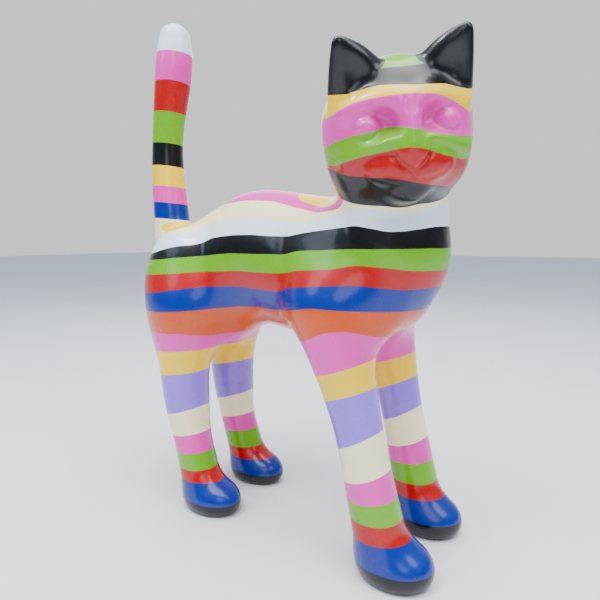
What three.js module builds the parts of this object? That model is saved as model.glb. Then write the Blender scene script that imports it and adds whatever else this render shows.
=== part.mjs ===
import * as THREE from "three";

// Resin cat, cast in one, standing on four legs with its tail straight up and its
// head turned to its own right. Millimetres, Z up. The cat faces -Y, +X is its left,
// and the floor under its paws is Z = 0.

// Driving dimensions
const TAIL_TOP = 759;
const TAIL_THICKNESS = 52;
const TRUNK_HEIGHT = 400;
const TRUNK_WIDTH = 168;
const FRONT_PAW_Y = -152;
const HIND_PAW_Y = 151;
const FRONT_TRACK = 128;
const HIND_TRACK = 117;
const FRONT_LEG_THICKNESS = 58;
const HIND_LEG_THICKNESS = 58;
const FRONT_PAW = { width: 80, length: 100, height: 53 };
const HIND_PAW = { width: 71, length: 102, height: 50 };
const NECK_THICKNESS = 103;
const HEAD_WIDTH = 170;
const HEAD_CENTRE = [-54, -137, 546];
const HEAD_TURN = -55.6;
const HEAD_NOD = 18.6;
const HEAD_ROLL = -6.5;

// Softness of the joints between forms, as the width of each fillet
const TRUNK_BLEND = 50;
const HAUNCH_BLEND = 30;
const NECK_BLEND = 40;
const LEG_BLEND = 35;
const PAW_BLEND = 20;
const SOLE_BLEND = 6;
const TAIL_BLEND = 25;
const HEAD_BLEND = 25;
const SKULL_BLEND = 30;
const FACE_BLEND = 12;
const EAR_BLEND = 8;

// Size of the facets, finer on the head than on the body
const BODY_FACET = 15.3;
const HEAD_FACET_SHARE = 0.55;
const HEAD_REACH = 110;

const SIDES = [-1, 1];
const AXES = [0, 1, 2];

// Distance formulas: each gives a point's distance to a form, negative inside it.

function join(first, second, blend) {
  const near = Math.max(blend - Math.abs(first - second), 0) / blend;
  return Math.min(first, second) - (near * near * blend) / 4;
}

function cut(form, tool, blend) {
  return -join(-form, tool, blend);
}

// An ellipsoid that leans by tilt radians about X
function ball(p, [x, y, z], [a, b, c], tilt = 0) {
  const cos = Math.cos(tilt);
  const sin = Math.sin(tilt);
  const dx = p[0] - x;
  const dy = (p[1] - y) * cos + (p[2] - z) * sin;
  const dz = (p[2] - z) * cos - (p[1] - y) * sin;
  const radii = Math.hypot(dx / a, dy / b, dz / c);
  const slope = Math.hypot(dx / (a * a), dy / (b * b), dz / (c * c));
  return (radii * (radii - 1)) / Math.max(slope, 1e-9);
}

// The skin stretched over two balls, each given as [x, y, z, radius]
function bar(p, from, to) {
  const [ax, ay, az] = [to[0] - from[0], to[1] - from[1], to[2] - from[2]];
  const [dx, dy, dz] = [p[0] - from[0], p[1] - from[1], p[2] - from[2]];
  const length = Math.hypot(ax, ay, az);
  const along = (dx * ax + dy * ay + dz * az) / length;
  const across = Math.sqrt(Math.max(dx * dx + dy * dy + dz * dz - along * along, 0));
  const sine = (from[3] - to[3]) / length;
  const cosine = Math.sqrt(1 - sine * sine);
  const touch = along * cosine - across * sine;
  if (touch < 0) {
    return Math.hypot(along, across) - from[3];
  }
  if (touch > length * cosine) {
    return Math.hypot(along - length, across) - to[3];
  }
  return across * cosine + along * sine - from[3];
}

// Bars in a row through the stations, which are written as a bar's ends are
function limb(p, stations) {
  let distance = Infinity;
  for (let i = 1; i < stations.length; i += 1) {
    distance = Math.min(distance, bar(p, stations[i - 1], stations[i]));
  }
  return distance;
}

// Adds stations between the given ones, on a Catmull-Rom curve through places and radii
function smooth(stations, steps) {
  const last = stations.length - 1;
  const mirror = (end, next) => end.map((value, k) => 2 * value - next[k]);
  const before = mirror(stations[0], stations[1]);
  const after = mirror(stations[last], stations[last - 1]);
  const row = [before, ...stations, after];
  const points = [];
  for (let i = 0; i < last; i += 1) {
    const [a, b, c, d] = row.slice(i, i + 4);
    for (let step = 0; step < steps; step += 1) {
      const t = step / steps;
      points.push(b.map((_, k) => {
        const first = (c[k] - a[k]) * t;
        const second = (2 * a[k] - 5 * b[k] + 4 * c[k] - d[k]) * t ** 2;
        const third = (3 * b[k] - a[k] - 3 * c[k] + d[k]) * t ** 3;
        return b[k] + (first + second + third) / 2;
      }));
    }
  }
  points.push(stations[last]);
  return points;
}

// Trunk: chest, ribs, loin and rump on the middle plane, then shoulders and thighs.
// x and wide are shares of the trunk's half width, and z is measured from its height.
const TRUNK_FORMS = [
  { x: 0, y: -108, z: 70, wide: 1.02, long: 37, high: 102, tilt: -0.414, blend: TRUNK_BLEND },
  { x: 0, y: -52, z: -29, wide: 0.99, long: 122, high: 94, tilt: 0.095, blend: TRUNK_BLEND },
  { x: 0, y: 66, z: -9, wide: 0.85, long: 133, high: 96, tilt: 0.202, blend: TRUNK_BLEND },
  { x: 0, y: 203, z: -61, wide: 0.92, long: 113, high: 102, tilt: 0.01, blend: TRUNK_BLEND },
  { x: 0.55, y: -78, z: -30, wide: 0.45, long: 76, high: 84, tilt: -0.024, blend: HAUNCH_BLEND },
  { x: 0.67, y: 213, z: -83, wide: 0.45, long: 57, high: 114, tilt: -0.028, blend: HAUNCH_BLEND },
];

function trunk(p) {
  const half = TRUNK_WIDTH / 2;
  let distance = null;
  for (const form of TRUNK_FORMS) {
    for (const side of form.x === 0 ? [0] : SIDES) {
      const centre = [side * form.x * half, form.y, TRUNK_HEIGHT + form.z];
      const next = ball(p, centre, [form.wide * half, form.long, form.high], form.tilt);
      distance = distance === null ? next : join(distance, next, form.blend);
    }
  }
  return distance;
}

// Legs. A station holds its share of the half track, its distance behind the paw, its
// share of the trunk's height and its share of the leg's thickness.
const FRONT_LEG = {
  track: FRONT_TRACK,
  thickness: FRONT_LEG_THICKNESS,
  pawY: FRONT_PAW_Y,
  paw: FRONT_PAW,
  stations: [
    [0.98, 89, 0.825, 1.88],
    [1.15, 67, 0.65, 1.3],
    [1.11, 49, 0.475, 1.06],
    [1.1, 33, 0.3, 1.06],
    [1.06, 17, 0.125, 1.16],
  ],
};
const HIND_LEG = {
  track: HIND_TRACK,
  thickness: HIND_LEG_THICKNESS,
  pawY: HIND_PAW_Y,
  paw: HIND_PAW,
  stations: [
    [0.85, 37, 0.775, 1.78],
    [1.02, 45, 0.625, 1.12],
    [0.99, 49, 0.45, 1.22],
    [0.98, 39, 0.275, 1.02],
    [1.0, 22, 0.125, 1.03],
  ],
};

function legPath(side, plan) {
  const out = (side * plan.track) / 2;
  const stations = plan.stations.map(([share, behind, up, thick]) => [
    out * share,
    plan.pawY + behind,
    TRUNK_HEIGHT * up,
    (plan.thickness / 2) * thick,
  ]);
  return smooth(stations, 4);
}

// A paw is a ball with its widest part at this share of its height, cut off by the floor.
const PAW_BELLY = 0.36;

const LEGS = SIDES.flatMap((side) => [FRONT_LEG, HIND_LEG].map((plan) => ({
  path: legPath(side, plan),
  pawCentre: [(side * plan.track) / 2, plan.pawY, plan.paw.height * PAW_BELLY],
  pawRadii: [plan.paw.width / 2, plan.paw.length / 2, plan.paw.height * (1 - PAW_BELLY)],
})));

function leg(p, { path, pawCentre, pawRadii }) {
  const whole = join(limb(p, path), ball(p, pawCentre, pawRadii), PAW_BLEND);
  return cut(whole, p[2], SOLE_BLEND);
}

// Tail. A station holds its Y, its share of the way up from the rump to the middle of
// the round tip, and its share of the tail's thickness.
const TAIL_ROOT = TRUNK_HEIGHT + 25;
const TAIL_STATIONS = [
  [278, 0.0, 1.15],
  [285, 0.29, 1.04],
  [283, 0.53, 0.97],
  [265, 0.86, 1.14],
  [262, 1.0, 0.96],
];

function tailPath() {
  const radius = TAIL_THICKNESS / 2;
  const rise = TAIL_TOP - radius - TAIL_ROOT;
  return smooth(TAIL_STATIONS.map(([y, up, thick]) => [0, y, TAIL_ROOT + rise * up, radius * thick]), 4);
}

const TAIL = tailPath();
const NECK = [
  [0, -129, TRUNK_HEIGHT + 14, NECK_THICKNESS / 2],
  [2, -134, TRUNK_HEIGHT + 125, NECK_THICKNESS / 2],
];

// Head, in its own frame: the nose points to -Y and +X is the cat's left. The tables
// are in millimetres for a head 170 wide, and the head's width scales them.
const HEAD_DRAWN_WIDTH = 170;
const HEAD_SCALE = HEAD_WIDTH / HEAD_DRAWN_WIDTH;
const HEAD_TURNS = new THREE.Matrix4().makeRotationFromEuler(new THREE.Euler(
  THREE.MathUtils.degToRad(HEAD_NOD),
  THREE.MathUtils.degToRad(HEAD_ROLL),
  THREE.MathUtils.degToRad(HEAD_TURN),
  "ZXY",
));
const INTO_HEAD = HEAD_TURNS.clone().invert();

const SKULL = [
  { x: 0, y: 0, z: 0, radii: [85, 77, 74] },
  { x: 0, y: -55, z: -28, radii: [37, 33, 31] },
  { x: 34, y: -15, z: -41, radii: [40, 42, 38] },
];
const BROW = [[12, -60, 34, 9], [60, -42, 24, 9]];
const CHEEK = [[19, -74, 0, 7], [61, -46, -21, 9]];
const SOCKET = { x: 33, y: -79, z: 15, radii: [26, 17, 14] };
const NOSE_BRIDGE = [[0, -64, 26, 12], [0, -77, -12, 12]];
const FACE = [
  { x: 41, y: -56, z: 10, radii: [13, 13, 10.5] },
  { x: 24, y: -68, z: -33, radii: [22, 18, 15] },
  { x: 0, y: -56, z: -58, radii: [24, 22, 17] },
];
const NOSE = [[-10, -82, -18, 7], [10, -82, -18, 7], [0, -83, -29, 6]];
const EAR = [[40, -25, 37, 38], [64, -40, 89, 8]];
const EAR_FLATTEN = 0.55;
const EAR_HOLLOW = [[44, -53, 52, 16], [58, -55, 76, 5]];

const mirrored = (place, side) => [side * place[0], ...place.slice(1)];

function skull(q) {
  let distance = null;
  for (const form of SKULL) {
    for (const side of form.x === 0 ? [0] : SIDES) {
      const next = ball(q, [side * form.x, form.y, form.z], form.radii);
      distance = distance === null ? next : join(distance, next, SKULL_BLEND);
    }
  }
  return distance;
}

// A bar squeezed to a share of its depth along Y
function blade(q, [base, tip], flatten) {
  const squeeze = ([x, y, z, radius]) => [x, y / flatten, z, radius];
  return bar(squeeze(q), squeeze(base), squeeze(tip)) * flatten;
}

function ear(q, side) {
  const outer = blade(q, EAR.map((end) => mirrored(end, side)), EAR_FLATTEN);
  const hollow = bar(q, ...EAR_HOLLOW.map((end) => mirrored(end, side)));
  return cut(outer, hollow, EAR_BLEND);
}

function head(p) {
  const q = new THREE.Vector3(...AXES.map((k) => p[k] - HEAD_CENTRE[k]))
    .applyMatrix4(INTO_HEAD)
    .divideScalar(HEAD_SCALE)
    .toArray();
  let distance = skull(q);
  for (const side of SIDES) {
    distance = join(distance, bar(q, ...BROW.map((end) => mirrored(end, side))), FACE_BLEND);
    distance = join(distance, bar(q, ...CHEEK.map((end) => mirrored(end, side))), FACE_BLEND);
    distance = cut(distance, ball(q, [side * SOCKET.x, SOCKET.y, SOCKET.z], SOCKET.radii), FACE_BLEND);
  }
  distance = join(distance, bar(q, ...NOSE_BRIDGE), FACE_BLEND);
  for (const form of FACE) {
    for (const side of form.x === 0 ? [0] : SIDES) {
      distance = join(distance, ball(q, [side * form.x, form.y, form.z], form.radii), EAR_BLEND);
    }
  }
  distance = join(distance, limb(q, [...NOSE, NOSE[0]]), EAR_BLEND);
  for (const side of SIDES) {
    distance = join(distance, ear(q, side), EAR_BLEND);
  }
  return distance * HEAD_SCALE;
}

function cat(p) {
  let distance = join(trunk(p), bar(p, ...NECK), NECK_BLEND);
  for (const plan of LEGS) {
    distance = join(distance, leg(p, plan), LEG_BLEND);
  }
  distance = join(distance, limb(p, TAIL), TAIL_BLEND);
  return join(distance, head(p), HEAD_BLEND);
}

// Skin. The space around the cat is divided into cells, drawn together round the head,
// and each cell that the surface crosses gets one vertex.

const MARGIN = 2 * BODY_FACET;
const LOW = [
  HEAD_CENTRE[0] - HEAD_WIDTH,
  Math.min(HEAD_CENTRE[1] - HEAD_WIDTH, FRONT_PAW_Y - FRONT_PAW.length),
  -MARGIN,
];
const HIGH = [
  Math.max(HEAD_CENTRE[0] + HEAD_WIDTH, TRUNK_WIDTH),
  HIND_PAW_Y + 1.3 * TRUNK_WIDTH,
  TAIL_TOP + MARGIN,
];
const COUNTS = AXES.map((k) => Math.ceil((HIGH[k] - LOW[k]) / BODY_FACET));

// The place of a grid corner, with the grid drawn together towards the head's centre
function corner(i, j, k) {
  const even = [i, j, k].map((step, axis) => LOW[axis] + step * BODY_FACET);
  const fromHead = AXES.map((axis) => even[axis] - HEAD_CENTRE[axis]);
  const away = Math.hypot(...fromHead) / HEAD_REACH;
  const pull = (1 - HEAD_FACET_SHARE) * Math.exp(-(away * away) / 2);
  return AXES.map((axis) => even[axis] - fromHead[axis] * pull);
}

function gradient(p) {
  const step = 0.05;
  return AXES.map((axis) => {
    const ahead = [...p];
    const behind = [...p];
    ahead[axis] += step;
    behind[axis] -= step;
    return (cat(ahead) - cat(behind)) / (2 * step);
  });
}

// Moves a point onto the surface along the gradient
function settle(start) {
  let p = start;
  for (let turn = 0; turn < 4; turn += 1) {
    const slope = gradient(p);
    const steep = slope[0] ** 2 + slope[1] ** 2 + slope[2] ** 2;
    const distance = cat(p);
    p = AXES.map((axis) => p[axis] - (distance * slope[axis]) / Math.max(steep, 0.2));
  }
  return p;
}

function skin() {
  const [nx, ny, nz] = COUNTS.map((count) => count + 1);
  const at = (i, j, k) => (i * ny + j) * nz + k;
  const places = [];
  const values = new Float64Array(nx * ny * nz);
  for (let i = 0; i < nx; i += 1) {
    for (let j = 0; j < ny; j += 1) {
      for (let k = 0; k < nz; k += 1) {
        const place = corner(i, j, k);
        places.push(place);
        values[at(i, j, k)] = cat(place);
      }
    }
  }
  const vertexOf = new Map();
  const vertices = [];
  const cellVertex = (i, j, k) => {
    const key = at(i, j, k);
    if (!vertexOf.has(key)) {
      const crossings = [];
      for (const [from, to] of CELL_EDGES) {
        const a = at(i + from[0], j + from[1], k + from[2]);
        const b = at(i + to[0], j + to[1], k + to[2]);
        if (values[a] < 0 !== values[b] < 0) {
          const share = values[a] / (values[a] - values[b]);
          crossings.push(AXES.map((axis) => places[a][axis] + (places[b][axis] - places[a][axis]) * share));
        }
      }
      const middle = AXES.map((axis) => crossings.reduce((sum, point) => sum + point[axis], 0) / crossings.length);
      vertexOf.set(key, vertices.length);
      vertices.push(settle(middle));
    }
    return vertexOf.get(key);
  };
  const triangles = [];
  for (let i = 1; i < nx - 1; i += 1) {
    for (let j = 1; j < ny - 1; j += 1) {
      for (let k = 1; k < nz - 1; k += 1) {
        for (const axis of AXES) {
          const next = [i, j, k];
          next[axis] += 1;
          const here = values[at(i, j, k)] < 0;
          const there = values[at(...next)] < 0;
          if (here !== there) {
            const [u, v] = [AXES[(axis + 1) % 3], AXES[(axis + 2) % 3]];
            const ring = [[-1, -1], [0, -1], [0, 0], [-1, 0]].map(([du, dv]) => {
              const cell = [i, j, k];
              cell[u] += du;
              cell[v] += dv;
              return cellVertex(...cell);
            });
            const quad = here ? ring : ring.reverse();
            triangles.push(...splitQuad(quad, vertices));
          }
        }
      }
    }
  }
  return { vertices, triangles };
}

// The twelve edges of a cell, each as two of its corners
const CELL_EDGES = [];
for (const axis of AXES) {
  const [u, v] = [(axis + 1) % 3, (axis + 2) % 3];
  for (const [a, b] of [[0, 0], [0, 1], [1, 0], [1, 1]]) {
    const from = [0, 0, 0];
    from[u] = a;
    from[v] = b;
    const to = [...from];
    to[axis] = 1;
    CELL_EDGES.push([from, to]);
  }
}

// Cuts a quad in two along its shorter diagonal
function splitQuad([a, b, c, d], vertices) {
  const span = (m, n) => Math.hypot(...AXES.map((k) => vertices[m][k] - vertices[n][k]));
  return span(a, c) <= span(b, d) ? [a, b, c, a, c, d] : [a, b, d, b, c, d];
}

const { vertices, triangles } = skin();
const geometry = new THREE.BufferGeometry();
geometry.setAttribute("position", new THREE.Float32BufferAttribute(vertices.flat(), 3));
geometry.setIndex(triangles);
geometry.computeBoundingBox();
const middle = geometry.boundingBox.getCenter(new THREE.Vector3());
geometry.translate(-middle.x, -middle.y, -geometry.boundingBox.min.z);
geometry.computeVertexNormals();

const paint = new THREE.MeshStandardMaterial({ color: 0xe8e4d8, roughness: 0.15, metalness: 0 });
const catSculpture = new THREE.Mesh(geometry, paint);
catSculpture.name = "cat_sculpture";

const model = new THREE.Group();
model.add(catSculpture);
export default model;
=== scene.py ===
"""A standing cat, cast in resin and painted in stripes, on a pale floor.

The cat is drawn in millimetres, with the floor at height 0 and the chest facing -Y, and
comes into the scene in metres.
"""
import math

import bpy
import numpy as np
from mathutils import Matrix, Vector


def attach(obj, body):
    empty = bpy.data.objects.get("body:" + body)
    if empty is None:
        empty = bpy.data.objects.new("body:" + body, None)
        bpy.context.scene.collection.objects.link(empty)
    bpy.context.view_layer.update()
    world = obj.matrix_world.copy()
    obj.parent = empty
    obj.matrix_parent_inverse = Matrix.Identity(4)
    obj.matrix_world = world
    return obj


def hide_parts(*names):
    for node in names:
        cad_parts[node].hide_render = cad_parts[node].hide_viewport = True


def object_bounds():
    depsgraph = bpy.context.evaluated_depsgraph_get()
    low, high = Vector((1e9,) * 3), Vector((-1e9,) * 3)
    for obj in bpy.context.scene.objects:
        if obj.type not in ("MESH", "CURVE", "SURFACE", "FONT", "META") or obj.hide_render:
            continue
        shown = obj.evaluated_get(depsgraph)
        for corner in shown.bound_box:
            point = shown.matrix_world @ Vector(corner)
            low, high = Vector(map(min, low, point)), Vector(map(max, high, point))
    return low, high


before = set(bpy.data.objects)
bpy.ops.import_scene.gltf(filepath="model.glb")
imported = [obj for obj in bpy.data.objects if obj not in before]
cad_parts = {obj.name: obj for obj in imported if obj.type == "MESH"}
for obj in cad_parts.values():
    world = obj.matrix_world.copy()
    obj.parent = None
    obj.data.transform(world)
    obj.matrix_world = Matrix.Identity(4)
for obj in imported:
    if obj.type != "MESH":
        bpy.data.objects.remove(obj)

cad_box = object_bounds()

MM = 0.001

# Sizes of the cat
TAIL_TOP = 759.0
TAIL_THICKNESS = 52.0
TRUNK_HEIGHT = 400.0
TRUNK_WIDTH = 168.0
FRONT_PAW_Y = -152.0
HIND_PAW_Y = 151.0
NECK_THICKNESS = 103.0
HEAD_WIDTH = 170.0
HEAD_CENTRE = np.array([-54.0, -137.0, 546.0])
HEAD_TURN, HEAD_NOD, HEAD_ROLL = np.radians([-55.6, 18.6, -6.5])

# The middle of the CAD part's box, as drawn here
DRAWN_MIDDLE = (-14.52, 45.36)

# Widths of the fillets between forms
TRUNK_BLEND = 50.0
HAUNCH_BLEND = 30.0
NECK_BLEND = 40.0
LEG_BLEND = 35.0
PAW_BLEND = 20.0
SOLE_BLEND = 6.0
TAIL_BLEND = 25.0
HEAD_BLEND = 25.0
SKULL_BLEND = 30.0
FACE_BLEND = 12.0
EAR_BLEND = 8.0

SIDES = (-1, 1)
LIMB_STEPS = 8
EAR_STEPS = 4
# Farther than any point here is from the cat
FAR = 1000.0

# Size of the skin's facets, their share of it at the head, and how far out that reaches
FACET = 4.1
HEAD_FACET_SHARE = 0.42
HEAD_REACH = 110.0


# Distance formulas: each gives the points' distances to a form, negative inside it.


def join(first, second, blend):
    near = np.maximum(blend - np.abs(first - second), 0.0) / blend
    return np.minimum(first, second) - near * near * blend / 4.0


def cut(form, tool, blend):
    return -join(-form, tool, blend)


def ball(p, centre, radii, tilt=0.0):
    """An ellipsoid that leans by tilt radians about X."""
    x, y, z = (p - np.asarray(centre, float)).T
    cos, sin = math.cos(tilt), math.sin(tilt)
    y, z = y * cos + z * sin, z * cos - y * sin
    a, b, c = radii
    reach = np.sqrt((x / a) ** 2 + (y / b) ** 2 + (z / c) ** 2)
    slope = np.sqrt((x / a**2) ** 2 + (y / b**2) ** 2 + (z / c**2) ** 2)
    return reach * (reach - 1.0) / np.maximum(slope, 1e-9)


def bar(p, start, end):
    """The skin stretched over two balls, each given as x, y, z and radius."""
    start, end = np.asarray(start, float), np.asarray(end, float)
    axis = end[:3] - start[:3]
    length = np.linalg.norm(axis)
    away = p - start[:3]
    along = away @ axis / length
    across = np.sqrt(np.maximum((away * away).sum(-1) - along * along, 0.0))
    sine = (start[3] - end[3]) / length
    cosine = math.sqrt(1.0 - sine * sine)
    touch = along * cosine - across * sine
    side = across * cosine + along * sine - start[3]
    first = np.hypot(along, across) - start[3]
    last = np.hypot(along - length, across) - end[3]
    return np.where(touch < 0.0, first, np.where(touch > length * cosine, last, side))


def limb(p, stations):
    distance = bar(p, stations[0], stations[1])
    for start, end in zip(stations[1:], stations[2:]):
        distance = np.minimum(distance, bar(p, start, end))
    return distance


def smooth(stations, steps=LIMB_STEPS):
    """Adds stations on a Catmull-Rom curve through places and radii."""
    given = np.array(stations, float)
    row = np.vstack([2 * given[0] - given[1], given, 2 * given[-1] - given[-2]])
    points = []
    for a, b, c, d in zip(row, row[1:], row[2:], row[3:]):
        for t in np.arange(steps) / steps:
            bend = (c - a) * t
            bend = bend + (2 * a - 5 * b + 4 * c - d) * t**2 + (3 * b - a - 3 * c + d) * t**3
            points.append(b + bend / 2)
    points.append(given[-1])
    return points


def mirrored(place, side):
    return (side * place[0], *place[1:])


def both_sides(x):
    return (0,) if x == 0 else SIDES


# Trunk: share of the half width out, y, height over the trunk's, radii (width as a share)
TRUNK_FORMS = (
    (0.0, -108, 70, (1.02, 37, 102), -0.414, TRUNK_BLEND),
    (0.0, -52, -29, (0.99, 122, 94), 0.095, TRUNK_BLEND),
    (0.0, 66, -9, (0.85, 133, 96), 0.202, TRUNK_BLEND),
    (0.0, 203, -61, (0.92, 113, 102), 0.01, TRUNK_BLEND),
    (0.55, -78, -30, (0.45, 76, 84), -0.024, HAUNCH_BLEND),
    (0.67, 213, -83, (0.45, 57, 114), -0.028, HAUNCH_BLEND),
)

# Legs: share of the half track out, distance behind the paw, share of the trunk's height,
# share of the leg's half thickness
FRONT_LEG = {
    "track": 128.0,
    "thickness": 58.0,
    "paw_y": FRONT_PAW_Y,
    "paw": (80.0, 100.0, 53.0),
    "stations": (
        (0.98, 89, 0.825, 1.88),
        (1.15, 67, 0.65, 1.3),
        (1.11, 49, 0.475, 1.06),
        (1.1, 33, 0.3, 1.06),
        (1.06, 17, 0.125, 1.16),
    ),
}
HIND_LEG = {
    "track": 117.0,
    "thickness": 58.0,
    "paw_y": HIND_PAW_Y,
    "paw": (71.0, 102.0, 50.0),
    "stations": (
        (0.85, 37, 0.775, 1.78),
        (1.02, 45, 0.625, 1.12),
        (0.99, 49, 0.45, 1.22),
        (0.98, 39, 0.275, 1.02),
        (1.0, 22, 0.125, 1.03),
    ),
}
PAW_BELLY = 0.36

# Tail: y, share of the way up, share of the thickness. It starts this far over the trunk's
# height.
TAIL_ROOT_RISE = 25.0
TAIL_STATIONS = (
    (278, 0, 1.15),
    (285, 0.29, 1.04),
    (283, 0.53, 0.97),
    (265, 0.86, 1.14),
    (262, 1, 0.96),
)

# Head, in its own frame: the nose points to -Y and +X is the cat's left
SKULL = (((0, 0, 0), (85, 77, 74)), ((0, -55, -28), (37, 33, 31)), ((34, -15, -41), (40, 42, 38)))
BROW = ((12, -60, 34, 9), (60, -42, 24, 9))
CHEEK = ((19, -74, 0, 7), (61, -46, -21, 9))
SOCKET = ((33, -79, 15), (26, 17, 14))
NOSE_BRIDGE = ((0, -64, 26, 12), (0, -77, -12, 12))
FACE = (((41, -56, 10), (13, 13, 10.5)), ((24, -68, -33), (22, 18, 15)), ((0, -56, -58), (24, 22, 17)))
NOSE = ((-10, -82, -18, 7), (10, -82, -18, 7), (0, -83, -29, 6), (-10, -82, -18, 7))
EAR = ((40, -25, 37, 38), (51.5, -33, 66, 23.5), (63, -40, 88.5, 8.5))
EAR_FLATTEN = 0.55
EAR_HOLLOW = ((42, -58, 47, 18), (50, -55, 62, 14), (60, -57, 80, 6))

# A line round the eyeball
EYE_LINE = tuple(
    (41 + 15.5 * math.cos(t), 9 + 10.5 * math.sin(t)) for t in np.linspace(0, math.tau, 13)
)

# Fine lines pressed into the face, each as across and up, with its width and depth. A
# negative depth raises a ridge.
FACE_LINES = (
    (EYE_LINE, 3.4, 1.3),
    (((18, 8), (27, 18)), 8.0, 4.5),
    (((24, 20), (36, 25), (50, 22)), 5.0, 1.3),
    (((4.5, 24), (4.5, 34)), 3.0, 2.0),
    (((0, 22), (0, -6)), 6.0, -1.5),
    (((20, 0), (40, -10), (61, -21)), 5.0, -2.4),
    (((19, -17), (11, -27), (3, -33), (0, -34)), 3.4, 3.6),
    (((0, -34), (0, -40)), 2.4, 2.2),
    (((0, -40), (8, -43.5), (18, -44), (30, -40), (38, -34)), 3.2, 1.6),
)
# How far before the head's middle the lines begin, and how far on they are whole
FACE_START = 30.0
FACE_EASE = 15.0

# Soft creases in the flanks, each as y and height, with its width and depth
FLANK_LINES = (
    (((150, 432), (152, 372)), 12.0, 2.5),
    (((8, 425), (0, 390), (-18, 350)), 11.0, 3.0),
    (((-88, 436), (-96, 398)), 10.0, 2.5),
)
# How far out from the trunk's middle the creases begin, and how far on they are whole
FLANK_START = 30.0
FLANK_EASE = 20.0


def turned(axis, angle):
    cos, sin = math.cos(angle), math.sin(angle)
    turn = np.eye(3)
    u, v = (axis + 1) % 3, (axis + 2) % 3
    turn[u, u], turn[u, v], turn[v, u], turn[v, v] = cos, -sin, sin, cos
    return turn


HEAD_TURNS = turned(2, HEAD_TURN) @ turned(0, HEAD_NOD) @ turned(1, HEAD_ROLL)


def trunk(p):
    half = TRUNK_WIDTH / 2
    distance = np.full(len(p), FAR)
    for x, y, z, (wide, long, high), tilt, blend in TRUNK_FORMS:
        for side in both_sides(x):
            centre = (side * x * half, y, TRUNK_HEIGHT + z)
            distance = join(distance, ball(p, centre, (wide * half, long, high), tilt), blend)
    return distance


def leg_form(plan, side):
    out = side * plan["track"] / 2
    stations = [
        (out * share, plan["paw_y"] + behind, TRUNK_HEIGHT * up, plan["thickness"] / 2 * thick)
        for share, behind, up, thick in plan["stations"]
    ]
    width, length, height = plan["paw"]
    centre = (out, plan["paw_y"], height * PAW_BELLY)
    return smooth(stations), centre, (width / 2, length / 2, height * (1 - PAW_BELLY))


LEGS = [leg_form(plan, side) for side in SIDES for plan in (FRONT_LEG, HIND_LEG)]


def leg(p, path, paw_centre, paw_radii):
    whole = join(limb(p, path), ball(p, paw_centre, paw_radii), PAW_BLEND)
    return cut(whole, p[:, 2], SOLE_BLEND)


def tail_path():
    root, radius = TRUNK_HEIGHT + TAIL_ROOT_RISE, TAIL_THICKNESS / 2
    rise = TAIL_TOP - radius - root
    return smooth([(0, y, root + rise * up, radius * thick) for y, up, thick in TAIL_STATIONS])


TAIL = tail_path()
NECK = (
    (0, -129, TRUNK_HEIGHT + 14, NECK_THICKNESS / 2),
    (2, -134, TRUNK_HEIGHT + 125, NECK_THICKNESS / 2),
)


def pressed(distance, across, up, lines, share):
    """Presses lines into a form, as deep as share says at each point."""
    for line, width, depth in lines:
        gap = np.full(len(distance), FAR)
        for (a, b), (c, d) in zip(line, line[1:]):
            run = ((across - a) * (c - a) + (up - b) * (d - b)) / ((c - a) ** 2 + (d - b) ** 2)
            run = np.clip(run, 0.0, 1.0)
            gap = np.minimum(gap, np.hypot(across - a - run * (c - a), up - b - run * (d - b)))
        distance = distance + share * depth * np.exp(-((gap / width) ** 2))
    return distance


def body(p):
    flank = np.clip((np.abs(p[:, 0]) - FLANK_START) / FLANK_EASE, 0.0, 1.0)
    distance = pressed(trunk(p), p[:, 1], p[:, 2], FLANK_LINES, flank)
    distance = join(distance, bar(p, *NECK), NECK_BLEND)
    for form in LEGS:
        distance = join(distance, leg(p, *form), LEG_BLEND)
    return join(distance, limb(p, TAIL), TAIL_BLEND)


def in_head(p):
    return (p - HEAD_CENTRE) @ HEAD_TURNS


def face(q):
    distance = np.full(len(q), FAR)
    for centre, radii in SKULL:
        for side in both_sides(centre[0]):
            distance = join(distance, ball(q, mirrored(centre, side), radii), SKULL_BLEND)
    for side in SIDES:
        for ridge in (BROW, CHEEK):
            distance = join(distance, bar(q, *(mirrored(end, side) for end in ridge)), FACE_BLEND)
        distance = cut(distance, ball(q, mirrored(SOCKET[0], side), SOCKET[1]), FACE_BLEND)
    distance = join(distance, bar(q, *NOSE_BRIDGE), FACE_BLEND)
    for centre, radii in FACE:
        for side in both_sides(centre[0]):
            distance = join(distance, ball(q, mirrored(centre, side), radii), EAR_BLEND)
    distance = join(distance, limb(q, NOSE), EAR_BLEND)
    front = np.clip((-q[:, 1] - FACE_START) / FACE_EASE, 0.0, 1.0)
    return pressed(distance, np.abs(q[:, 0]), q[:, 2], FACE_LINES, front)


def ear(q, side):
    squeeze = np.array([1.0, 1.0 / EAR_FLATTEN, 1.0])
    ends = [(side * x, y / EAR_FLATTEN, z, radius) for x, y, z, radius in EAR]
    outer = limb(q * squeeze, smooth(ends, EAR_STEPS)) * EAR_FLATTEN
    hollow = limb(q, [mirrored(end, side) for end in EAR_HOLLOW])
    return cut(outer, hollow, EAR_BLEND)


def head(p):
    q = in_head(p)
    distance = face(q)
    for side in SIDES:
        distance = join(distance, ear(q, side), EAR_BLEND)
    return distance


def cat(p):
    return join(body(p), head(p), HEAD_BLEND)


BATCH = 20000


def measured(form, points):
    """Works a formula out in batches that fit the processor's cache."""
    batches = np.array_split(points, max(1, len(points) // BATCH))
    return np.concatenate([form(batch) for batch in batches])


# Skin: one vertex in each cell that the surface crosses, moved onto the surface

# Two corners of the grid
GRID_MARGIN = 30.0
LOW = np.array([HEAD_CENTRE[0] - HEAD_WIDTH, HEAD_CENTRE[1] - HEAD_WIDTH, -GRID_MARGIN])
HIGH = np.array([TRUNK_WIDTH, HIND_PAW_Y + 1.3 * TRUNK_WIDTH, TAIL_TOP + GRID_MARGIN])
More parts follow.
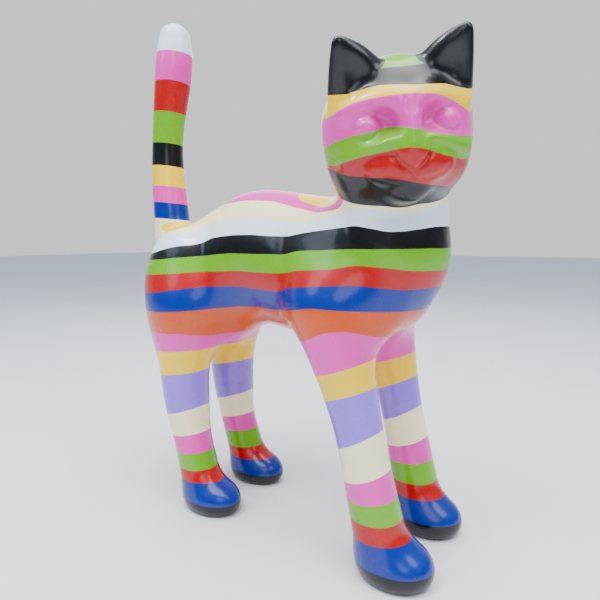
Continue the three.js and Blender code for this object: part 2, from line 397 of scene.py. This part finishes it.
# One place in so many is worked out first along each axis, then each this near the surface
COARSE = 4
NEAR = 34.0
# How the vertices settle on the surface
SETTLE_ROUNDS = 4
SETTLE_STEP = 0.3
LEAST_SLOPE = 0.2


def drawn_together(even):
    """Draws the grid together round the head, for finer facets there."""
    away = even - HEAD_CENTRE
    pull = (1 - HEAD_FACET_SHARE) * np.exp(-(away**2).sum(-1, keepdims=True) / HEAD_REACH**2 / 2)
    return even - away * pull


def settle(points):
    """Moves points onto the surface, down its slope as read at four corners round each."""
    corners = np.array([(1, -1, -1), (-1, -1, 1), (-1, 1, -1), (1, 1, 1)], float)
    for _ in range(SETTLE_ROUNDS):
        around = [measured(cat, points + SETTLE_STEP * corner) for corner in corners]
        distance = sum(around) / len(corners)
        slope = sum(value[:, None] * corner for value, corner in zip(around, corners))
        slope = slope / (len(corners) * SETTLE_STEP)
        steep = np.maximum((slope**2).sum(-1), LEAST_SLOPE)
        points = points - slope * (distance / steep)[:, None]
    return points


def grid_values(places, steps):
    """Distances to the cat over the grid, exact only near the surface."""
    rough_places = places[::COARSE, ::COARSE, ::COARSE]
    rough = measured(cat, rough_places.reshape(-1, 3)).reshape(rough_places.shape[:3])
    nearest = [
        np.minimum(np.rint(row / COARSE).astype(int), size - 1)
        for row, size in zip(steps, rough.shape)
    ]
    values = rough[np.ix_(*nearest)]
    close = np.abs(values) < NEAR
    values[close] = measured(cat, places[close])
    return values


def skin():
    """The cat's vertices, and its faces with four corners each."""
    counts = np.ceil((HIGH - LOW) / FACET).astype(int) + 1
    steps = [np.arange(count) for count in counts]
    places = drawn_together(LOW + np.stack(np.meshgrid(*steps, indexing="ij"), -1) * FACET)
    values = grid_values(places, steps)
    cells = math.prod(counts)
    numbers = np.arange(cells).reshape(counts)
    strides = np.array([counts[1] * counts[2], counts[2], 1])
    totals = np.zeros((cells, 3))
    crossings = np.zeros(cells)
    rings = []
    for axis in range(3):
        here = np.moveaxis(values, axis, 0)[:-1]
        there = np.moveaxis(values, axis, 0)[1:]
        crossed = np.argwhere((here < 0) != (there < 0))
        a, b = here[tuple(crossed.T)], there[tuple(crossed.T)]
        spots = np.moveaxis(places, axis, 0)
        start = spots[tuple(crossed.T)]
        end = spots[tuple((crossed + (1, 0, 0)).T)]
        points = start + (end - start) * (a / (a - b))[:, None]
        edges = np.moveaxis(numbers, axis, 0)[tuple(crossed.T)]
        u, v = strides[(axis + 1) % 3], strides[(axis + 2) % 3]
        ring = np.stack([edges - u - v, edges - v, edges, edges - u], -1)
        for cell in ring.T:
            crossings += np.bincount(cell, minlength=cells)
            for k in range(3):
                totals[:, k] += np.bincount(cell, points[:, k], minlength=cells)
        rings.append(np.where((a < 0)[:, None], ring, ring[:, ::-1]))
    used = np.flatnonzero(crossings)
    order = np.full(cells, -1)
    order[used] = np.arange(len(used))
    vertices = settle(totals[used] / crossings[used][:, None])
    vertices[:, 2] = np.maximum(vertices[:, 2], 0.0)
    return vertices, order[np.concatenate(rings)]


# Paint. An edge between two colours is a row of heights, and a point's course counts the
# edges over it, so that it stands half way between two whole numbers on an edge.

PAINTS = {
    "yellow": (250, 206, 0),
    "pink": (230, 56, 172),
    "cream": (252, 247, 190),
    "white": (228, 241, 252),
    "black": (7, 7, 9),
    "green": (104, 172, 0),
    "red": (176, 0, 2),
    "blue": (0, 38, 138),
    "orange": (206, 74, 0),
    "lavender": (142, 108, 224),
}
# How far from an edge a course starts to count it, how far the edge's corners are rounded,
# and at how many places it is read for that
EDGE_RUN = 4.0
EDGE_ROUNDING = 9.0
EDGE_READINGS = 7

# Down the trunk: the colour above each edge, and the edge as y and height
TRUNK_EDGES = (
    ("yellow", (
        (-180, 600), (-95, 496), (-59, 456), (-25, 460), (8, 470), (40, 500),
    )),
    ("pink", (
        (-180, 570), (-110, 484), (-76, 453), (-37, 450), (0, 458), (44, 469), (89, 472),
        (138, 468), (170, 480),
    )),
    ("cream", (
        (-182, 459), (-173, 451), (-156, 446), (-134, 448), (-105, 453), (-45, 442), (-13, 439),
        (7, 440), (52, 446), (111, 446), (166, 434), (190, 428), (290, 416),
    )),
    ("white", (
        (-186, 433), (-163, 427), (-144, 424), (-127, 428), (-99, 433), (-87, 431), (-30, 425),
        (0, 420), (67, 423), (103, 422), (141, 418), (162, 409), (195, 406), (241, 395),
    )),
    ("black", (
        (-188, 406), (-90, 405), (-22, 402), (0, 397), (100, 397), (157, 392), (238, 385),
    )),
    ("green", (
        (-186, 380), (-169, 380), (-134, 385), (-106, 387), (-78, 382), (-32, 379), (5, 373),
        (88, 373), (144, 370), (239, 363),
    )),
    ("red", (
        (-179, 359), (-152, 358), (-109, 364), (-67, 362), (-16, 357), (9, 348), (91, 351),
        (148, 348), (183, 343), (239, 335),
    )),
    ("blue", (
        (-162, 331), (-128, 333), (-64, 337), (16, 322), (67, 322), (101, 320), (133, 316),
        (231, 308),
    )),
    ("orange", (
        (-131, 298), (-121, 305), (-105, 311), (-80, 309), (-47, 293), (142, 274), (165, 279),
        (222, 277),
    )),
)

# Down the legs: the colour above each edge, then its height on the right front, left
# front, right hind and left hind leg. The paws end in black.
LEG_EDGES = (
    ("pink", (268, 251, 252, 250)),
    ("yellow", (236, 217, 217, 211)),
    ("lavender", (181, 173, 160, 154)),
    ("cream", (134, 129, 120, 116)),
    ("pink", (104, 101, 91, 89)),
    ("green", (79, 73, 66, 61)),
    ("red", (56, 53, 49, 43)),
    ("blue", (24, 25, 20, 20)),
)
# How far the right legs' heights pass into the left ones', and the front legs' into the hind
LEFT_EASE = 40.0
HIND_EASE = 60.0
# The legs' middles, as height and y. Rings on the upper legs tilt about them.
FRONT_MIDDLE = (
    (30, -165), (56, -154), (79, -148), (104, -141), (134, -134), (181, -123), (306, -99),
)
HIND_MIDDLE = (
    (26, 127), (49, 146), (66, 155), (91, 162), (120, 168), (160, 171), (279, 173),
)
# How steeply the rings fall towards the tail, as height and slope
FRONT_RISE = (
    (80, 0), (104, 0.1), (134, 0.4), (181, 0.5), (236, 0.3), (268, 0.36), (300, 0.3),
)
HIND_RISE = (
    (70, 0), (91, 0.05), (120, 0.2), (160, 0.33), (217, 0.12), (252, 0.08),
)

# Down the tail: the colour above each edge, and the edge's height. The tail ends in blue.
TAIL_EDGES = (
    ("white", 710),
    ("pink", 666),
    ("red", 620),
    ("green", 571),
    ("black", 535),
    ("yellow", 502),
    ("pink", 475),
)
# Where its paint ends, below and in front
TAIL_FOOT = 449.0
TAIL_FRONT = 222.0
# How steeply its rings fall, the way that they do, and the y that they tilt about
TAIL_RING_FALL = 0.085
TAIL_ACROSS = (0.53, -0.85)
TAIL_MIDDLE = 270.0

# Round the head: the colour above each edge, and the edge as bearing from the nose in
# degrees and height
HEAD_EDGES = (
    ("green", (
        (-180, 62.5), (180, 62.5),
    )),
    ("black", (
        (-180, 40), (-90, 44), (-63, 44), (-56, 41), (-42, 46), (-20, 48), (0, 46), (43, 42),
        (50, 36), (61, 33), (90, 38), (180, 40),
    )),
    ("yellow", (
        (-180, 14), (-100, 16), (-76, 18), (-60, 22), (-52, 32), (-30, 37), (-12, 39), (9, 38),
        (28, 34), (41, 25), (54, 11), (90, 12), (180, 14),
    )),
    ("pink", (
        (-180, -14), (-79, -14), (-51, 0), (-26, 7), (-9, 8), (0, 10), (8, 3), (29, -5),
        (53, -12), (90, -14), (180, -14),
    )),
    ("green", (
        (-180, -38), (-120, -36), (-67, -33), (-44, -21), (-33, -17), (-13, -12), (-6, -9),
        (1, -8), (12, -17), (26, -25), (47, -35), (90, -38), (180, -38),
    )),
    ("red", (
        (-180, -56), (-120, -38), (-70, -34), (-50, -41), (-22, -38), (-3, -45), (16, -54),
        (43, -64), (90, -62), (180, -56),
    )),
)

# A yellow patch before the tail, as y and height of its middle, and its half sizes
TAIL_PATCH = ((238, 436), (38, 10))

# The ears' black: how far off the face it starts, the most that is counted of that, and the
# height that it starts at
EAR_PAINT_START = 1.0
EAR_PAINT_REACH = 12.0
EAR_PAINT_FOOT = 41.0


def read_edge(edge, places):
    """An edge's height at each place, with its corners rounded."""
    offsets = np.linspace(-EDGE_ROUNDING, EDGE_ROUNDING, EDGE_READINGS)
    return sum(np.interp(places + offset, *zip(*edge)) for offset in offsets) / len(offsets)


def course(heights_over_edges):
    """How many edges a point is below."""
    return sum(np.clip(0.5 - over / (2 * EDGE_RUN), 0.0, 1.0) for over in heights_over_edges)


def body_course(p):
    x, y, z = p.T
    over = [z - read_edge(edge, y) for _, edge in TRUNK_EDGES]
    hind = np.clip(y / HIND_EASE, 0.0, 1.0)
    left = np.clip(x / LEFT_EASE + 0.5, 0.0, 1.0)
    middle = read_edge(FRONT_MIDDLE, z) * (1 - hind) + read_edge(HIND_MIDDLE, z) * hind
    rise = read_edge(FRONT_RISE, z) * (1 - hind) + read_edge(HIND_RISE, z) * hind
    level = z + rise * (y - middle)
    for _, (right_front, left_front, right_hind, left_hind) in LEG_EDGES:
        front_height = right_front * (1 - left) + left_front * left
        hind_height = right_hind * (1 - left) + left_hind * left
        over.append(level - front_height * (1 - hind) - hind_height * hind)
    return course(over)


def tail_marks(p):
    """The tail's course, and how far inside the tail's paint a point is."""
    x, y, z = p.T
    level = z + TAIL_RING_FALL * (TAIL_ACROSS[0] * x + TAIL_ACROSS[1] * (y - TAIL_MIDDLE))
    inside = np.minimum(level - TAIL_FOOT, y - TAIL_FRONT)
    return course([level - height for _, height in TAIL_EDGES]), inside


def head_course(p):
    x, y, z = in_head(p).T
    bearing = np.degrees(np.arctan2(x, -y))
    return course([z - read_edge(edge, bearing) for _, edge in HEAD_EDGES])


def head_inside(p):
    return body(p) - head(p)


def ear_inside(p):
    q = in_head(p)
    nearest = np.minimum(ear(q, -1), ear(q, 1))
    off_face = np.minimum(face(q), EAR_PAINT_REACH)
    return np.minimum(off_face - nearest, q[:, 2] - EAR_PAINT_FOOT)


def patch_inside(p):
    (y, z), (long, high) = TAIL_PATCH
    return 1.0 - np.hypot((p[:, 1] - y) / long, (p[:, 2] - z) / high)


def colour(red, green, blue):
    """A paint's colour as the eye sees it, 0 to 255, made into light."""
    shares = [value / 255 for value in (red, green, blue)]
    light = [
        share / 12.92 if share <= 0.04045 else ((share + 0.055) / 1.055) ** 2.4
        for share in shares
    ]
    return (*light, 1.0)


class Value:
    """A number in a material, written in sums like any other."""

    def __init__(self, recipe, socket):
        self.recipe = recipe
        self.socket = socket

    def worked(self, kind, first, second):
        node = self.recipe.node("ShaderNodeMath", {"operation": kind}, {0: first, 1: second})
        return Value(self.recipe, node.outputs[0])

    def __add__(self, other):
        return self.worked("ADD", self, other)

    def __radd__(self, other):
        return self.worked("ADD", other, self)

    def __sub__(self, other):
        return self.worked("SUBTRACT", self, other)

    def __mul__(self, other):
        return self.worked("MULTIPLY", self, other)

    def __rmul__(self, other):
        return self.worked("MULTIPLY", other, self)

    def __truediv__(self, other):
        return self.worked("DIVIDE", self, other)

    def __gt__(self, other):
        return self.worked("GREATER_THAN", self, other)


class Recipe:
    """A material, or the light of the air, in the making."""

    def __init__(self, name, shelf=bpy.data.materials):
        self.made = shelf.new(name)
        self.made.use_nodes = True
        self.tree = self.made.node_tree
        self.tree.nodes.clear()

    def node(self, kind, settings, inputs):
        made = self.tree.nodes.new(kind)
        for name, value in settings.items():
            setattr(made, name, value)
        for name, value in inputs.items():
            source = value.socket if isinstance(value, Value) else value
            if isinstance(source, bpy.types.NodeSocket):
                self.tree.links.new(source, made.inputs[name])
            else:
                made.inputs[name].default_value = source
        return made

    def mark(self, name):
        node = self.node("ShaderNodeAttribute", {"attribute_name": name}, {})
        return Value(self, node.outputs["Fac"])

    def noise(self, scale, detail=2.0):
        places = self.node("ShaderNodeTexCoord", {}, {}).outputs["Object"]
        inputs = {"Vector": places, "Scale": scale, "Detail": detail}
        return Value(self, self.node("ShaderNodeTexNoise", {}, inputs).outputs[0])

    def eased(self, value, low, high):
        inputs = {"Value": value, "From Min": low, "From Max": high}
        settings = {"interpolation_type": "SMOOTHSTEP"}
        return self.node("ShaderNodeMapRange", settings, inputs).outputs[0]

    def mixed(self, share, first, second, blend="MIX"):
        settings = {"data_type": "RGBA", "blend_type": blend}
        return self.node("ShaderNodeMix", settings, {0: share, 6: first, 7: second}).outputs[2]

    def ramp(self, value, names):
        """Colours in a row: each holds for half a step either side of its whole number."""
        node = self.node("ShaderNodeValToRGB", {}, {0: value / len(names)})
        ramp = node.color_ramp
        ramp.interpolation = "CONSTANT"
        ramp.elements.remove(ramp.elements[1])
        ramp.elements[0].position = 0.0
        ramp.elements[0].color = colour(*PAINTS[names[0]])
        for number, name in enumerate(names[1:], 1):
            ramp.elements.new((number - 0.5) / len(names)).color = colour(*PAINTS[name])
        return node.outputs[0]

    def finish(self, settings):
        shader = self.node("ShaderNodeBsdfPrincipled", {}, settings)
        self.node("ShaderNodeOutputMaterial", {}, {0: shader.outputs[0]})
        return self.made


# How far brushed edges waver, in courses, and the foot of the tail's paint in millimetres a
# course. Then how much thin paint greys, and to what.
EDGE_WAVER = 0.16
FOOT_WAVER = 8.0
GREYING = 0.16
GREYED = (120, 120, 120)


def paint_names(edges, last):
    return [name for name, _ in edges] + [last]


def painted_resin():
    recipe = Recipe("painted_resin")
    waver = (recipe.noise(38.0) - 0.5) * EDGE_WAVER
    body_names = paint_names(TRUNK_EDGES + LEG_EDGES, "black")
    body_paint = recipe.ramp(recipe.mark("body_course") + waver, body_names)
    tail_names = paint_names(TAIL_EDGES, "blue")
    tail_paint = recipe.ramp(recipe.mark("tail_course") + waver, tail_names)
    head_names = paint_names(HEAD_EDGES, "black")
    head_paint = recipe.ramp(recipe.mark("head_course") + waver, head_names)
    shown = recipe.mixed(recipe.mark("patch_inside") > 0.0, body_paint, colour(*PAINTS["yellow"]))
    shown = recipe.mixed(recipe.mark("tail_inside") + waver * FOOT_WAVER > 0.0, shown, tail_paint)
    shown = recipe.mixed(recipe.mark("head_inside") > 0.0, shown, head_paint)
    in_ear = recipe.mark("ear_inside") > EAR_PAINT_START
    shown = recipe.mixed(in_ear, shown, colour(*PAINTS["black"]))
    thin = recipe.noise(14.0, 4.0)
    shown = recipe.mixed(GREYING * thin, shown, colour(*GREYED), "MULTIPLY")
    ripple = recipe.noise(55.0, 3.0)
    bump = recipe.node("ShaderNodeBump", {}, {"Strength": 0.12, "Distance": 0.004, "Height": ripple})
    return recipe.finish(
        {
            "Base Color": shown,
            "Roughness": 0.2 + 0.14 * recipe.noise(24.0, 4.0),
            "Normal": bump.outputs[0],
            "Specular IOR Level": 0.35,
            "Coat Weight": 0.22,
            "Coat Roughness": 0.06,
        }
    )


def pale_floor():
    recipe = Recipe("pale_floor")
    tone = recipe.mixed(recipe.noise(1.5, 3.0), colour(226, 227, 229), colour(236, 236, 236))
    return recipe.finish({"Base Color": tone, "Roughness": 0.55 + 0.2 * recipe.noise(9.0)})


# The air's light low down, high up and behind the cat, and the way from the camera to there
LOW_AIR = (0.22, 0.24, 0.27, 1.0)
DAYLIGHT = (0.58, 0.73, 1.0, 1.0)
BACKDROP = (0.93, 0.94, 0.95, 1.0)
BEHIND_CAT = (0.85, 0.53)


def studio_air():
    """A pale backdrop behind the cat, with blue daylight above."""
    recipe = Recipe("studio_air", bpy.data.worlds)
    direction = recipe.node("ShaderNodeTexCoord", {}, {}).outputs["Generated"]
    parts = recipe.node("ShaderNodeSeparateXYZ", {}, {0: direction}).outputs
    x, y, z = (Value(recipe, part) for part in parts)
    room = recipe.mixed(recipe.eased(z, 0.12, 0.6), LOW_AIR, DAYLIGHT)
    away = BEHIND_CAT[0] * x + BEHIND_CAT[1] * y
    room = recipe.mixed(recipe.eased(away, 0.2, 0.75), room, BACKDROP)
    air = recipe.node("ShaderNodeBackground", {}, {"Color": room, "Strength": 1.0})
    recipe.node("ShaderNodeOutputWorld", {}, {0: air.outputs[0]})
    return recipe.made


def placed(name, data):
    """Puts a new object in the scene."""
    thing = bpy.data.objects.new(name, data)
    bpy.context.scene.collection.objects.link(thing)
    return thing


# Lamps, all turned to one place in the trunk: place, size, watts and tint
LAMPS_AIM = (0.0, 0.0, 0.4)
PLAIN = (1.0, 1.0, 1.0)
LAMPS = {
    "overhead": ((-0.4, -0.3, 2.7), 2.8, 135.0, PLAIN),
    "window": ((-2.2, -1.5, 1.6), 1.4, 13.0, PLAIN),
    "far_side": ((1.8, 1.2, 1.5), 1.6, 10.0, PLAIN),
    "bright_lamp": ((-1.1, 0.5, 2.2), 0.35, 16.0, PLAIN),
    "front_lamp": ((-0.3, -1.8, 1.9), 1.0, 13.0, PLAIN),
    "sky_panel": ((-1.5, 1.15, 1.7), 1.1, 10.0, (0.72, 0.84, 1.0)),
}


def soft_light(name, place, size, power, tint):
    light = bpy.data.lights.new(name, "AREA")
    light.shape = "DISK"
    light.size = size
    light.energy = power
    light.color = tint
    lamp = placed(name, light)
    lamp.location = place
    away = np.array(place) - np.array(LAMPS_AIM)
    flat = math.hypot(away[0], away[1])
    lamp.rotation_euler = (math.atan2(flat, away[2]), 0.0, math.atan2(away[0], -away[1]))


vertices, faces = skin()
cad_middle = (np.array(cad_box[0]) + np.array(cad_box[1])) / 2
shift = np.array([cad_middle[0] - DRAWN_MIDDLE[0] * MM, cad_middle[1] - DRAWN_MIDDLE[1] * MM, 0.0])

mesh = bpy.data.meshes.new("painted_cat")
mesh.from_pydata((vertices * MM + shift).tolist(), [], faces.tolist())
tail_course, tail_inside = tail_marks(vertices)
marks = {
    "body_course": body_course(vertices),
    "tail_course": tail_course,
    "head_course": head_course(vertices),
    "tail_inside": tail_inside,
    "head_inside": measured(head_inside, vertices),
    "ear_inside": measured(ear_inside, vertices),
    "patch_inside": patch_inside(vertices),
}
for name, values in marks.items():
    mesh.attributes.new(name, "FLOAT", "POINT").data.foreach_set("value", values.astype(np.float32))
mesh.shade_smooth()
mesh.materials.append(painted_resin())
cat_piece = placed("painted_cat", mesh)
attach(cat_piece, "root")
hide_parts("cat_sculpture")

HALF_FLOOR = 12.0
floor_corners = [
    (x * HALF_FLOOR, y * HALF_FLOOR, 0.0) for x, y in ((-1, -1), (1, -1), (1, 1), (-1, 1))
]
floor_mesh = bpy.data.meshes.new("floor")
floor_mesh.from_pydata(floor_corners, [], [(0, 1, 2, 3)])
floor_mesh.materials.append(pale_floor())
floor = placed("floor", floor_mesh)

bpy.context.scene.world = studio_air()

for lamp_name, lamp_settings in LAMPS.items():
    soft_light(lamp_name, *lamp_settings)

# Where the photo was taken from, drawn as the cat is, and degrees down and round
CAMERA_PLACE = (-615.2, -356.8, 417.3)
CAMERA_DOWN = 6.985
CAMERA_TURN = -58.186

camera = bpy.data.cameras.new("camera")
camera.lens = 30.0
camera.sensor_width = 36.0
camera_place = placed("camera", camera)
camera_place.location = np.array(CAMERA_PLACE) * MM + shift
camera_place.rotation_euler = (math.radians(90.0 - CAMERA_DOWN), 0.0, math.radians(CAMERA_TURN))
bpy.context.scene.camera = camera_place
